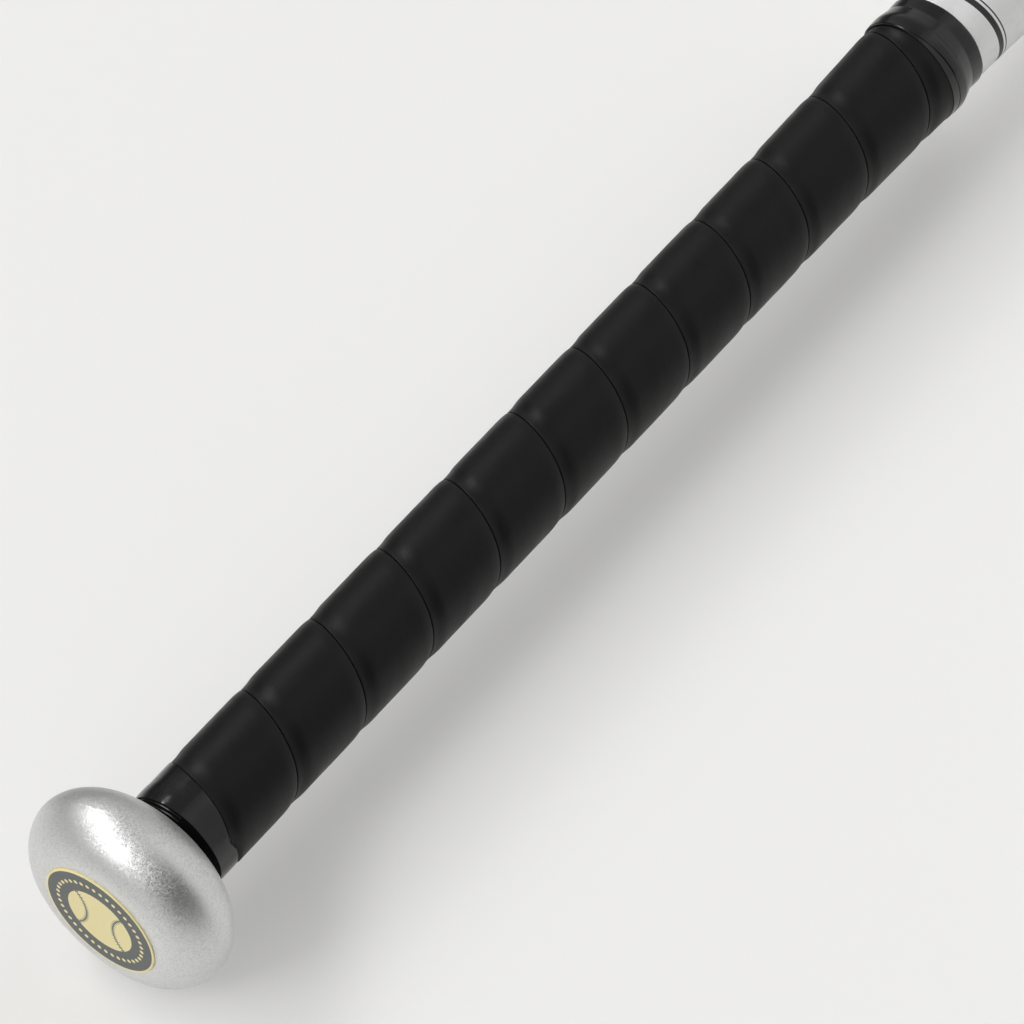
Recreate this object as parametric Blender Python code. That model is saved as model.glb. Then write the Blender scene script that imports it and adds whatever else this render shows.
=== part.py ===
# Softball bat: a one-piece swaged alloy tube with a welded knob, a spiral-wrapped grip,
# finishing tape at both ends of the grip, and a moulded cap snapped into the rolled lip.
#
# Sizes are in metres. Stations run along the bat from the knob's end face, at 0, to the
# barrel. Every piece is drawn along its own Z axis, and one empty lays the bat along +X
# with the barrel on the ground.

import math

import bmesh
import bpy

# Tube
overall_length = 0.838
handle_diameter = 0.0222
barrel_diameter = 0.057
handle_wall = 0.0026
barrel_wall = 0.0020
taper_start = 0.215
taper_end = 0.600
lip_radius = 0.0050

# Knob
knob_diameter = 0.0512
knob_length = 0.0242
knob_face_diameter = 0.0352
knob_neck_diameter = 0.0270
knob_widest_station = 0.0104
knob_fullness = 1.8
spigot_length = 0.0150
spigot_chamfer = 0.0010
knob_bore_diameter = 0.0100
knob_bore_depth = 0.0260
weld_leg = 0.0014

# Badge
badge_diameter = 0.0305
badge_thickness = 0.0006
badge_proud = 0.0003
badge_edge = 0.00015

# Grip wrap
grip_thickness = 0.0017
grip_length = 0.2728
wrap_pitch = 0.02325
wrap_drift = 0.0011
drift_wave = 0.260
seam_station = 0.0553
seam_phase = math.radians(-23)
seam_gap = 0.0003
seam_depth = 0.0008
seam_skive = 0.0032
seam_shoulder = 0.0018
cut_tip = 0.0010

# Finishing tape, as shares of a turn from the seam's phase where a turn is named
tape_thickness = 0.0004
tape_step = 0.0006
tape_knob_width = 0.0064
tape_knob_press = 0.0008
tape_top_lap = 0.0055
tape_top_run = 0.0060
tape_top_press = 0.0004
flag_start_turn = 0.75
flag_low_turn = 0.8833
flag_end_turn = 0.4167
flag_cut_turn = 0.0667

# End cap
cap_proud = 0.0016
cap_face_diameter = 0.0300
cap_rim_overlap = 0.0012
cap_rim_edge = 0.0004
cap_snap = 0.0012
cap_snap_length = 0.0012
cap_skirt_length = 0.0140
cap_skirt_wall = 0.0022
cap_web = 0.0030
rib_count = 3
rib_width = 0.0018
rib_depth = 0.0060

# Sound damper
damper_length = 0.060
damper_chamfer = 0.003

# Fits and facets
fit = 0.0003
round_segments = 48
grip_segments = 24
taper_stations = 13

handle_radius = handle_diameter / 2
barrel_radius = barrel_diameter / 2
barrel_bore = barrel_radius - barrel_wall
badge_radius = badge_diameter / 2
tube_start = knob_length + fit
tube_end = overall_length - badge_proud - cap_proud
lip_inner = barrel_radius - lip_radius
grip_start = tube_start + weld_leg + fit
grip_end = grip_start + grip_length
tape_knob_end = grip_start + tape_knob_width
tape_top_start = grip_end - tape_top_lap
tape_top_end = grip_end + tape_top_run


def clamped(value, low, high):
    return min(max(value, low), high)


def blend(start, end, share):
    return start + (end - start) * share


def eased(share):
    """Rise from 0 to 1 that starts and ends level, as a swaged taper does."""
    share = clamped(share, 0.0, 1.0)
    return share**3 * (10 - 15 * share + 6 * share**2)


def along_taper(station):
    return eased((station - taper_start) / (taper_end - taper_start))


def tube_radius(station):
    return blend(handle_radius, barrel_radius, along_taper(station))


def tube_wall(station):
    return blend(handle_wall, barrel_wall, along_taper(station))


def around(radius, segments):
    """Corner radius of a faceted ring whose flats clear a round bar of this radius."""
    return radius / math.cos(math.pi / segments)


def arc(centre, radius, start, end, steps):
    """Points of an arc in the (radius, station) plane, with its angles in degrees."""
    points = []
    for step in range(steps + 1):
        angle = math.radians(blend(start, end, step / steps))
        points.append((centre[0] + radius * math.cos(angle), centre[1] + radius * math.sin(angle)))
    return points


# Building blocks


def clear_scene():
    for item in list(bpy.data.objects):
        bpy.data.objects.remove(item, do_unlink=True)


def finish(name, colour, roughness, metallic=0.0):
    material = bpy.data.materials.new(name)
    material.use_nodes = True
    shader = material.node_tree.nodes["Principled BSDF"]
    shader.inputs["Base Color"].default_value = (*colour, 1.0)
    shader.inputs["Roughness"].default_value = roughness
    shader.inputs["Metallic"].default_value = metallic
    material.diffuse_color = (*colour, 1.0)
    return material


def lay_bat():
    """The empty that carries every piece: its Z axis is the bat's, turned to lie along +X."""
    flat_bottom = barrel_radius * math.cos(math.pi / round_segments)
    axis = bpy.data.objects.new("bat_axis", None)
    axis.location = (badge_proud - overall_length / 2, 0.0, flat_bottom)
    axis.rotation_euler = (0.0, math.pi / 2, 0.0)
    bpy.context.scene.collection.objects.link(axis)
    return axis


def place(name, shape, material, axis, station=0.0, sharp_angle=32):
    bmesh.ops.recalc_face_normals(shape, faces=shape.faces)
    mesh = bpy.data.meshes.new(name)
    shape.to_mesh(mesh)
    shape.free()
    mesh.shade_smooth()
    mesh.set_sharp_from_angle(angle=math.radians(sharp_angle))
    mesh.materials.append(material)
    item = bpy.data.objects.new(name, mesh)
    item.parent = axis
    item.location = (0.0, 0.0, station)
    bpy.context.scene.collection.objects.link(item)
    return item


def turned(outline, segments=round_segments):
    """Spin an outline of (radius, station) points about Z, with a flat at the bat's underside.

    An outline that starts and ends on the axis makes a solid; any other is closed into a ring.
    """
    shape = bmesh.new()
    phase = math.pi / segments
    corners = [
        shape.verts.new((radius * math.cos(phase), radius * math.sin(phase), station))
        for radius, station in outline
    ]
    edges = [shape.edges.new(pair) for pair in zip(corners, corners[1:])]
    if outline[0][0] > 0.0:
        edges.append(shape.edges.new((corners[-1], corners[0])))
    bmesh.ops.spin(
        shape,
        geom=corners + edges,
        cent=(0.0, 0.0, 0.0),
        axis=(0.0, 0.0, 1.0),
        angle=2 * math.pi,
        steps=segments,
        use_merge=True,
    )
    bmesh.ops.remove_doubles(shape, verts=shape.verts, dist=1e-6)
    return shape


def lofted(rings, closed):
    """Skin a row of equal rings of points, closed on itself or capped at both ends."""
    shape = bmesh.new()
    rows = [[shape.verts.new(point) for point in ring] for ring in rings]
    pairs = list(zip(rows, rows[1:]))
    if closed:
        pairs.append((rows[-1], rows[0]))
    for near, far in pairs:
        for index in range(len(near)):
            after = (index + 1) % len(near)
            shape.faces.new((near[index], near[after], far[after], far[index]))
    if not closed:
        shape.faces.new(rows[0])
        shape.faces.new(list(reversed(rows[-1])))
    return shape


def around_bat(turn, radius, station):
    """A point at this turn about the bat, where turn 0 is the seam's phase and turns go from
    straight up towards +Y, which winds the wrap left-handed."""
    angle = seam_phase + 2 * math.pi * turn
    return (-radius * math.cos(angle), radius * math.sin(angle), station)


# Tube: drawn down at the handle, full size at the barrel, its end rolled in to a lip


def make_tube(axis, alloy):
    stations = [
        blend(taper_start, taper_end, step / taper_stations) for step in range(taper_stations + 1)
    ]
    lip_centre = (lip_inner, tube_end - lip_radius)
    outside = [(handle_radius, tube_start)]
    outside += [(tube_radius(station), station) for station in stations]
    outside += arc(lip_centre, lip_radius, 0, 90, 5)
    inside = arc(lip_centre, lip_radius - barrel_wall, 90, 0, 4)
    inside += [(tube_radius(station) - tube_wall(station), station) for station in reversed(stations)]
    inside += [(handle_radius - handle_wall, tube_start)]
    place("bat_tube", turned(outside + inside), alloy, axis)


# Knob: a turned bun with a seat for the badge, and a bored spigot that plugs the handle


def make_knob(axis, paint):
    seat_radius = badge_radius + fit
    seat_depth = badge_thickness - badge_proud + fit
    face_radius = knob_face_diameter / 2
    knob_radius = knob_diameter / 2
    neck_radius = knob_neck_diameter / 2
    spigot_radius = handle_radius - handle_wall - fit
    spigot_end = knob_length + spigot_length
    bore_radius = knob_bore_diameter / 2
    bore_floor = spigot_end - knob_bore_depth
    front, back = 7, 7
    outline = [(0.0, seat_depth), (seat_radius, seat_depth), (seat_radius, 0.0)]
    for step in range(front):
        share = (step / front) ** 1.6
        bulge = (1 - (1 - share) ** knob_fullness) ** (1 / knob_fullness)
        outline.append((blend(face_radius, knob_radius, bulge), knob_widest_station * share))
    for step in range(back + 1):
        share = step / back
        fall = math.cos(share * math.pi / 2)
        station = blend(knob_widest_station, knob_length, share)
        outline.append((blend(neck_radius, knob_radius, fall), station))
    outline += [
        (spigot_radius, knob_length),
        (spigot_radius, spigot_end - spigot_chamfer),
        (spigot_radius - spigot_chamfer, spigot_end),
        (bore_radius, spigot_end),
        (bore_radius, bore_floor + bore_radius / 2),
        (0.0, bore_floor),
    ]
    place("knob", turned(outline), paint, axis)


def make_weld(axis, alloy):
    """The bead that fills the corner between the knob's neck and the handle."""
    inner = around(handle_radius + fit, round_segments)
    bead = arc((inner, 0.0), weld_leg, 0, 90, 4)
    place("knob_weld", turned([(inner, 0.0)] + bead), alloy, axis, tube_start)


def make_badge(axis, print_face):
    outline = [
        (0.0, 0.0),
        (badge_radius - badge_edge, 0.0),
        (badge_radius, badge_edge),
        (badge_radius, badge_thickness),
        (0.0, badge_thickness),
    ]
    place("knob_badge", turned(outline), print_face, axis, -badge_proud)


# Grip wrap: one strip wound round the handle, turn against turn, with a skived leading edge


def seam(turn):
    """Station of the seam line; its pitch drifts a little, as a strip pulled on by hand does."""
    drift = wrap_drift * math.sin(2 * math.pi * wrap_pitch * turn / drift_wave)
    return seam_station + wrap_pitch * turn + (drift if turn > 0 else 0.0)


def tape_edge(turn):
    """Barrel-side edge of the knob tape: square behind, and along the first seam in front."""
    share = turn % 1.0
    if share >= flag_low_turn:
        return seam(share - 2) - seam_gap
    if share >= flag_start_turn:
        fall = (share - flag_start_turn) / (flag_low_turn - flag_start_turn)
        return blend(tape_knob_end, seam(flag_low_turn - 2) - seam_gap, fall)
    if share <= flag_end_turn:
        return seam(share - 1) - seam_gap
    drop = clamped((share - flag_end_turn) / flag_cut_turn, 0.0, 1.0)
    return blend(seam(flag_end_turn - 1) - seam_gap, tape_knob_end, drop)


def pressed_to(turn):
    """Station up to which the knob tape holds the strip down at this turn."""
    if turn >= flag_low_turn - 2:
        return grip_start
    beside = 1 / grip_segments
    return max(tape_edge(turn - beside), tape_edge(turn), tape_edge(turn + beside)) + fit


def rounded_edge(distance, run):
    """Height lost at a distance from the strip's edge, none past the run."""
    share = clamped(1 - distance / run, 0.0, 1.0)
    return seam_depth * (1 - math.sqrt(1 - share**2))


def strip_height(turn, station, start, end, scale):
    loss = rounded_edge(station - start, seam_skive * scale)
    loss = max(loss, rounded_edge(end - station, seam_shoulder * scale))
    low = pressed_to(turn)
    near_knob = 1 - clamped((station - low) / tape_step, 0.0, 1.0) if low > grip_start else 0.0
    near_top = clamped((station - tape_top_start + fit) / tape_step + 1, 0.0, 1.0)
    press = max(tape_knob_press * near_knob, tape_top_press * near_top)
    return grip_thickness - max(loss, press)


def strip_stations(turn, start, end, scale):
    """Eight stations across the strip, two of them at the step where a tape begins."""
    skive, shoulder = seam_skive * scale, seam_shoulder * scale
    low, top = pressed_to(turn), tape_top_start - fit
    if start < low < end:
        step = [low, low + tape_step]
    elif start < top < end:
        step = [top - tape_step, top]
    else:
        step = [blend(start + skive, end - shoulder, share) for share in (1 / 3, 2 / 3)]
    edges = [start, start + 0.3 * skive, start + skive, end - shoulder, end - 0.3 * shoulder, end]
    spacing = (end - start) / 40
    inner = [clamped(station, start + spacing, end - spacing) for station in step]
    stations = sorted(edges + inner)
    for index in range(1, len(stations)):
        stations[index] = max(stations[index], stations[index - 1] + spacing / 8)
    return stations


def strip_section(turn):
    start = max(grip_start, seam(turn))
    end = min(grip_end, seam(turn + 1) - seam_gap)
    full_width = seam_skive + seam_shoulder + 2 * tape_step
    scale = min(1.0, (end - start) / full_width)
    section = []
    for station in strip_stations(turn, start, end, scale):
        height = strip_height(turn, station, start, end, scale)
        section.append(around_bat(turn, tube_radius(station) + height, station))
    for station in (section[-1][2], section[0][2]):
        radius = around(tube_radius(station) + fit, grip_segments)
        section.append(around_bat(turn, radius, station))
    return section


def make_wrap(axis, leather):
    first = (grip_start + cut_tip + seam_gap - seam_station) / wrap_pitch - 1
    last = first
    while seam(last) < grip_end - cut_tip:
        last += 1 / grip_segments
    count = round((last - first) * grip_segments)
    rings = [strip_section(first + index / grip_segments) for index in range(count)]
    place("grip_wrap", lofted(rings, closed=False), leather, axis, sharp_angle=50)


# Finishing tape: a flagged band at the knob, and a stepped band over the wrap's far end


def make_knob_tape(axis, vinyl):
    held = handle_radius + grip_thickness - tape_knob_press
    inner = around(held + fit, round_segments)
    outer = inner + tape_thickness
    rings = []
    for index in range(round_segments):
        turn = index / round_segments
        edge = tape_edge(turn)
        corners = ((inner, grip_start), (outer, grip_start), (outer, edge), (inner, edge))
        rings.append([around_bat(turn, radius, station) for radius, station in corners])
    place("finish_tape_knob", lofted(rings, closed=True), vinyl, axis)


def make_top_tape(axis, vinyl):
    def over_wrap(station):
        return around(tube_radius(station) + grip_thickness - tape_top_press + fit, round_segments)

    def over_handle(station):
        return around(tube_radius(station) + fit, round_segments)

    step_start = grip_end + fit
    step_end = step_start + grip_thickness
    inside = [
        (over_wrap(tape_top_start), tape_top_start),
        (over_wrap(step_start), step_start),
        (over_handle(step_end), step_end),
        (over_handle(tape_top_end), tape_top_end),
    ]
    outside = [(radius + tape_thickness, station) for radius, station in reversed(inside)]
    place("finish_tape_top", turned(inside + outside), vinyl, axis)


# End cap: a domed face, a groove that grips the lip, and a ribbed skirt behind it


def make_cap(axis, moulding):
    neck = lip_inner - fit
    groove_floor = -barrel_wall - fit
    snap_bend = lip_radius - barrel_wall - fit
    snap_angle = math.degrees(math.acos(cap_snap / snap_bend))
    snap_radius = lip_inner + cap_snap
    rim = lip_inner + cap_rim_overlap
    skirt_outer = neck
    skirt_inner = skirt_outer - cap_skirt_wall
    web_under = cap_proud - cap_web
    shape = [(0.0, cap_proud), (cap_face_diameter / 2, cap_proud)]
    shape += [
        (blend(cap_face_diameter / 2, rim, share), cap_proud - (cap_proud - fit - cap_rim_edge) * share**2)
        for share in (0.35, 0.7, 1.0)
    ]
    shape += [(rim, fit), (neck, fit), (neck, groove_floor)]
    shape += arc((lip_inner, -lip_radius), snap_bend, 90, snap_angle, 2)
    snap_low = shape[-1][1] - cap_snap_length
    shape += [
        (snap_radius, snap_low),
        (skirt_outer, snap_low - 2 * cap_snap),
        (skirt_outer, -cap_skirt_length),
        (skirt_inner, -cap_skirt_length),
        (skirt_inner, web_under - cap_web / 2),
        (skirt_inner - cap_web / 2, web_under),
        (0.0, web_under),
    ]
    cap = place("end_cap", turned(shape), moulding, axis, tube_end)
    for index in range(rib_count):
        rib = bmesh.new()
        bmesh.ops.create_cube(rib, size=1.0)
        span = 2 * skirt_inner + cap_skirt_wall
        height = rib_depth + cap_web / 2
        bmesh.ops.scale(rib, vec=(span, rib_width, height), verts=rib.verts)
        cutter = place(f"cap_rib_{index + 1}", rib, moulding, axis)
        cutter.location = (0.0, 0.0, tube_end + web_under + cap_web / 2 - height / 2)
        cutter.rotation_euler = (0.0, 0.0, math.pi * index / rib_count)
        cutter.hide_render = True
        cutter.display_type = "WIRE"
        join = cap.modifiers.new(f"rib_{index + 1}", "BOOLEAN")
        join.operation = "UNION"
        join.solver = "EXACT"
        join.object = cutter


def make_damper(axis, foam):
    """The foam plug behind the cap that deadens the barrel's ring."""
    radius = barrel_bore - fit
    outline = [
        (0.0, 0.0),
        (radius - damper_chamfer, 0.0),
        (radius, -damper_chamfer),
        (radius, damper_chamfer - damper_length),
        (radius - damper_chamfer, -damper_length),
        (0.0, -damper_length),
    ]
    place("barrel_damper", turned(outline), foam, axis, tube_end - cap_skirt_length - fit)


def make_bat():
    clear_scene()
    axis = lay_bat()
    alloy = finish("satin_alloy", (0.66, 0.67, 0.68), 0.32, 1.0)
    paint = finish("silver_flake_paint", (0.58, 0.59, 0.60), 0.30, 0.9)
    bead = finish("weld_metal", (0.42, 0.42, 0.43), 0.55, 1.0)
    print_face = finish("badge_print", (0.16, 0.18, 0.18), 0.40)
    leather = finish("grip_leather", (0.016, 0.016, 0.017), 0.62)
    vinyl = finish("tape_vinyl", (0.014, 0.014, 0.015), 0.24)
    moulding = finish("cap_rubber", (0.020, 0.020, 0.021), 0.55)
    foam = finish("damper_foam", (0.10, 0.10, 0.11), 0.95)
    make_tube(axis, alloy)
    make_knob(axis, paint)
    make_weld(axis, bead)
    make_badge(axis, print_face)
    make_wrap(axis, leather)
    make_knob_tape(axis, vinyl)
    make_top_tape(axis, vinyl)
    make_cap(axis, moulding)
    make_damper(axis, foam)


make_bat()
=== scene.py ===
import math

import bmesh
import bpy
from mathutils import Matrix, Vector


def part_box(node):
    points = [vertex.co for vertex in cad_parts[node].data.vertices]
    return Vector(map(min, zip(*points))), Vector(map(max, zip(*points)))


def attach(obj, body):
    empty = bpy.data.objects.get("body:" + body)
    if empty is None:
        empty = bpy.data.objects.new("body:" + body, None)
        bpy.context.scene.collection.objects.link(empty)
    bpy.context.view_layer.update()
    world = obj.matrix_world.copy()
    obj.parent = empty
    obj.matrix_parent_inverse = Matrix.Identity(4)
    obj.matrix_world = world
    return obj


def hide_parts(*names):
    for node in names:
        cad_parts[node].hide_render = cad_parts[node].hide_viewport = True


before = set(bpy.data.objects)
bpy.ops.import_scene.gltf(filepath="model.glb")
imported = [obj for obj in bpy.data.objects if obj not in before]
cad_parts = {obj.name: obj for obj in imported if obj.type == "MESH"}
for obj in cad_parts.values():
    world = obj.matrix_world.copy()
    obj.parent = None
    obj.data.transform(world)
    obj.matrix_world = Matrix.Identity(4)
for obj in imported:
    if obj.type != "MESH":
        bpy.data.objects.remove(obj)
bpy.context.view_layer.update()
print("frame loaded:", ", ".join(sorted(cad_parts)))

# Sizes are in metres. Stations run along the bat from the knob's end face to the barrel,
# and angles run round it from straight up towards +Y.
bat = {
    "startX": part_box("knob")[0].x,
    "axisZ": (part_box("bat_tube")[0].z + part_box("bat_tube")[1].z) / 2,
    "handleRadius": 0.0111,
    "barrelRadius": 0.0285,
    "handleWall": 0.0026,
    "barrelWall": 0.0020,
    "taperStart": 0.215,
    "taperEnd": 0.600,
    "tubeStart": 0.0245,
    "tubeEnd": 0.8361,
    "lipRadius": 0.0050,
    "taperSteps": 60,
    "segments": 192,
}

# The wrap's seam as (turn, station) at its own phase; the first one in front is drawn closer
wrapPhase = math.radians(-23)
seamLine = [(-2, 0.0088), (-1.12, 0.0298), (-1.03, 0.0318), (-0.97, 0.03285), (-0.91, 0.0338),
            (-0.867, 0.0347), (-0.792, 0.0365), (0, 0.05537), (1, 0.0789), (2, 0.1024),
            (3, 0.1262), (4, 0.1495), (5, 0.17225), (6, 0.19515), (7, 0.2181), (8, 0.2403),
            (9, 0.2630), (10, 0.2866), (11, 0.3100)]


def blend(start, end, share):
    return start + (end - start) * share


def held(value, low=0.0, high=1.0):
    return min(max(value, low), high)


def smooth(share):
    share = held(share)
    return share * share * (3 - 2 * share)


def tubeRadius(station):
    share = held((station - bat["taperStart"]) / (bat["taperEnd"] - bat["taperStart"]))
    rise = share**3 * (10 - 15 * share + 6 * share * share)
    return blend(bat["handleRadius"], bat["barrelRadius"], rise)


def tubeWall(station):
    swell = bat["barrelRadius"] - bat["handleRadius"]
    share = (tubeRadius(station) - bat["handleRadius"]) / swell
    return blend(bat["handleWall"], bat["barrelWall"], share)


def along(points, value):
    # straight lines between the (x, y) points
    for (x0, y0), (x1, y1) in zip(points, points[1:]):
        if value <= x1:
            return blend(y0, y1, held((value - x0) / (x1 - x0)))
    return points[-1][1]


# Trees: a wire is a socket that takes arithmetic, so a tree reads like the formula it holds


def plug(tree, value, socket):
    if isinstance(value, Wire):
        tree.links.new(value.socket, socket)
    elif socket.type == "RGBA":
        socket.default_value = (*value, 1.0)
    else:
        socket.default_value = value


def addNode(tree, kind, inputs=None, **settings):
    item = tree.nodes.new(kind)
    for key, value in settings.items():
        setattr(item, key, value)
    for key, value in (inputs or {}).items():
        plug(tree, value, item.inputs[key])
    return item


def made(tree, kind, inputs=None, output=0, **settings):
    return Wire(tree, addNode(tree, kind, inputs, **settings).outputs[output])


class Wire:
    def __init__(self, tree, socket):
        self.tree = tree
        self.socket = socket

    def maths(self, operation, *values):
        return made(self.tree, "ShaderNodeMath", dict(enumerate(values)), operation=operation)

    def __rsub__(self, other):
        return self.maths("SUBTRACT", other, self)

    def __rmul__(self, other):
        return self.maths("MULTIPLY", other, self)

    def held(self):
        # between 0 and 1
        return self.most(0.0).least(1.0)

    def remap(self, low, high, newLow=0.0, newHigh=1.0, shape="LINEAR"):
        return made(self.tree, "ShaderNodeMapRange",
                    {"Value": self, "From Min": low, "From Max": high,
                     "To Min": newLow, "To Max": newHigh}, interpolation_type=shape)

    def spread(self, middle, less, more):
        # a noise, which mostly lies from 0.3 to 0.7, turned into a number near the middle one
        return self.remap(0.3, 0.7, middle - less, middle + more)

    def curve(self, points, xRange, yRange):
        # a float curve with straight pieces through the (x, y) points
        item = addNode(self.tree, "ShaderNodeFloatCurve", {"Value": self.remap(*xRange)})
        line = item.mapping.curves[0]
        for place, point in enumerate(points):
            spot = [(value - low) / (high - low)
                    for value, (low, high) in zip(point, (xRange, yRange))]
            if place < 2:
                line.points[place].location = spot
            else:
                line.points.new(*spot)
        for point in line.points:
            point.handle_type = "VECTOR"
        item.mapping.update()
        return Wire(self.tree, item.outputs[0]).remap(0.0, 1.0, *yRange)


def mathsMethod(operation):
    return lambda first, *others: first.maths(operation, first, *others)


for label, operation in {
        "__add__": "ADD", "__sub__": "SUBTRACT", "__mul__": "MULTIPLY", "__truediv__": "DIVIDE",
        "__gt__": "GREATER_THAN", "__lt__": "LESS_THAN", "least": "MINIMUM", "most": "MAXIMUM",
        "power": "POWER", "root": "SQRT", "size": "ABSOLUTE", "floor": "FLOOR",
        "fraction": "FRACT", "sine": "SINE", "cosine": "COSINE", "turnFrom": "ARCTAN2"}.items():
    setattr(Wire, label, mathsMethod(operation))


def anyOf(first, *others):
    for other in others:
        first = first.most(other)
    return first


def vectorOf(tree, x, y, z):
    return made(tree, "ShaderNodeCombineXYZ", {"X": x, "Y": y, "Z": z})


def noiseOf(vector, scale, detail=2.0, roughness=0.5):
    return made(vector.tree, "ShaderNodeTexNoise",
                {"Vector": vector, "Scale": scale, "Detail": detail, "Roughness": roughness})


# Meshes


def show(name, data):
    item = bpy.data.objects.new(name, data)
    bpy.context.scene.collection.objects.link(item)
    return item


def finishMesh(name, mesh, sharpAngle):
    # a closed shell with a negative volume is inside out
    shell = bmesh.new()
    shell.from_mesh(mesh)
    if shell.calc_volume(signed=True) < 0:
        bmesh.ops.reverse_faces(shell, faces=shell.faces)
        shell.to_mesh(mesh)
    shell.free()
    mesh.shade_smooth()
    mesh.set_sharp_from_angle(angle=math.radians(sharpAngle))
    print(name, "made with", len(mesh.polygons), "faces")


# Pieces made by Geometry Nodes: one tree with named sizes, run once and turned into a plain mesh


def startTree(name, sizes):
    tree = bpy.data.node_groups.new(name, "GeometryNodeTree")
    tree.interface.new_socket("Geometry", in_out="OUTPUT", socket_type="NodeSocketGeometry")
    kinds = {int: "Int", float: "Float", bpy.types.Material: "Material"}
    for label, value in sizes.items():
        tree.interface.new_socket(label, in_out="INPUT",
                                  socket_type="NodeSocket" + kinds[type(value)])
    enter = tree.nodes.new("NodeGroupInput")
    return tree, {label: Wire(tree, enter.outputs[label]) for label in sizes}


def startGrid(tree, rings, across):
    # a sheet of points in rings, with each point's ring and its spot in that ring
    sheet = made(tree, "GeometryNodeMeshGrid", {"Vertices X": rings, "Vertices Y": across})
    index = made(tree, "GeometryNodeInputIndex")
    ring = ((index + 0.5) / across).floor()
    return sheet, ring, index - ring * across


def setRound(tree, geometry, station, radius, angle):
    place = vectorOf(tree, station + bat["startX"], radius * angle.sine(),
                     radius * angle.cosine() + bat["axisZ"])
    return made(tree, "GeometryNodeSetPosition", {"Geometry": geometry, "Position": place})


def endTree(tree, geometry, material, sewn=True):
    if sewn:
        geometry = made(tree, "GeometryNodeMergeByDistance",
                        {"Geometry": geometry, "Distance": 1e-7})
    real = made(tree, "GeometryNodeRealizeInstances", {"Geometry": geometry})
    coloured = made(tree, "GeometryNodeSetMaterial", {"Geometry": real, "Material": material})
    plug(tree, coloured, tree.nodes.new("NodeGroupOutput").inputs["Geometry"])
    return tree


def growPiece(name, makeTree, sizes, sharpAngle):
    piece = show(name, bpy.data.meshes.new(name))
    maker = piece.modifiers.new(name, "NODES")
    maker.node_group = makeTree(sizes)
    for socket in maker.node_group.interface.items_tree:
        if socket.in_out == "INPUT":
            maker[socket.identifier] = sizes[socket.name]
    depsgraph = bpy.context.evaluated_depsgraph_get()
    grown = bpy.data.meshes.new_from_object(piece.evaluated_get(depsgraph), depsgraph=depsgraph)
    piece.modifiers.remove(maker)
    piece.data = grown
    grown.name = name
    finishMesh(name, grown, sharpAngle)
    return piece


# Pieces made of rings: each ring is a closed row of points


def roundBat(radius, station, angle):
    across, up = radius * math.sin(angle), radius * math.cos(angle)
    return bat["startX"] + station, across, bat["axisZ"] + up


def settle(name, shell, material, sharpAngle):
    bmesh.ops.remove_doubles(shell, verts=shell.verts, dist=1e-7)
    bmesh.ops.recalc_face_normals(shell, faces=shell.faces)
    mesh = bpy.data.meshes.new(name)
    shell.to_mesh(mesh)
    shell.free()
    mesh.materials.append(material)
    finishMesh(name, mesh, sharpAngle)
    return show(name, mesh)


def lathe(name, outline, segments, material, sharpAngle=30):
    # outline is a row of (radius, station) that starts and ends on the axis or closes on itself
    shell = bmesh.new()
    turns = [2 * math.pi * (step + 0.5) / segments for step in range(segments)]
    rows = [[shell.verts.new(roundBat(radius, station, turn))
             for turn in (turns if radius > 0 else turns[:1])] for radius, station in outline]
    pairs = list(zip(rows, rows[1:]))
    if outline[0][0] > 0:
        pairs.append((rows[-1], rows[0]))
    for near, far in pairs:
        for step in range(segments):
            after = (step + 1) % segments
            ring = [near[step % len(near)], near[after % len(near)],
                    far[after % len(far)], far[step % len(far)]]
            corners = list(dict.fromkeys(ring))
            if len(corners) > 2:
                shell.faces.new(corners)
    return settle(name, shell, material, sharpAngle)


def loopedSleeve(name, profileAt, segments, material, sharpAngle):
    # a sleeve whose closed section, a row of (radius, station), changes with the angle
    shell = bmesh.new()
    rows = []
    for step in range(segments):
        angle = 2 * math.pi * step / segments
        rows.append([shell.verts.new(roundBat(radius, station, angle))
                     for radius, station in profileAt(angle)])
    for near, far in zip(rows, rows[1:] + rows[:1]):
        for step in range(len(near)):
            after = (step + 1) % len(near)
            shell.faces.new((near[step], near[after], far[after], far[step]))
    return settle(name, shell, material, sharpAngle)


def arc(centre, radius, start, end, steps):
    points = []
    for step in range(steps + 1):
        angle = math.radians(blend(start, end, step / steps))
        points.append((centre[0] + radius * math.cos(angle), centre[1] + radius * math.sin(angle)))
    return points


# Finishes


def startFinish(name, look):
    material = bpy.data.materials.new(name)
    material.use_nodes = True
    material.diffuse_color = (*look["colour"], 1.0)
    endFinish(material, {"Base Color": look["colour"], "Roughness": look["roughness"],
                         "Metallic": look.get("metallic", 0.0),
                         "Specular IOR Level": look.get("specular", 0.5)})
    return material, material.node_tree


def endFinish(material, inputs):
    tree = material.node_tree
    for label, value in inputs.items():
        plug(tree, value, tree.nodes["Principled BSDF"].inputs[label])
    return material


def objectPlace(tree):
    return made(tree, "ShaderNodeTexCoord", output="Object")


def split(vector):
    item = addNode(vector.tree, "ShaderNodeSeparateXYZ", {"Vector": vector})
    return [Wire(vector.tree, item.outputs[axis]) for axis in range(3)]


def stretched(vector, scale):
    return made(vector.tree, "ShaderNodeMapping", {"Vector": vector, "Scale": scale})


def cells(vector, scale, output="Distance"):
    return made(vector.tree, "ShaderNodeTexVoronoi", {"Vector": vector, "Scale": scale}, output)


def mixed(share, first, second):
    return made(share.tree, "ShaderNodeMix", {0: share, 6: first, 7: second}, 2, data_type="RGBA")


def bumped(height, distance, **onto):
    return made(height.tree, "ShaderNodeBump", {"Height": height, "Distance": distance,
                                                "Strength": 1.0, **onto})


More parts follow.
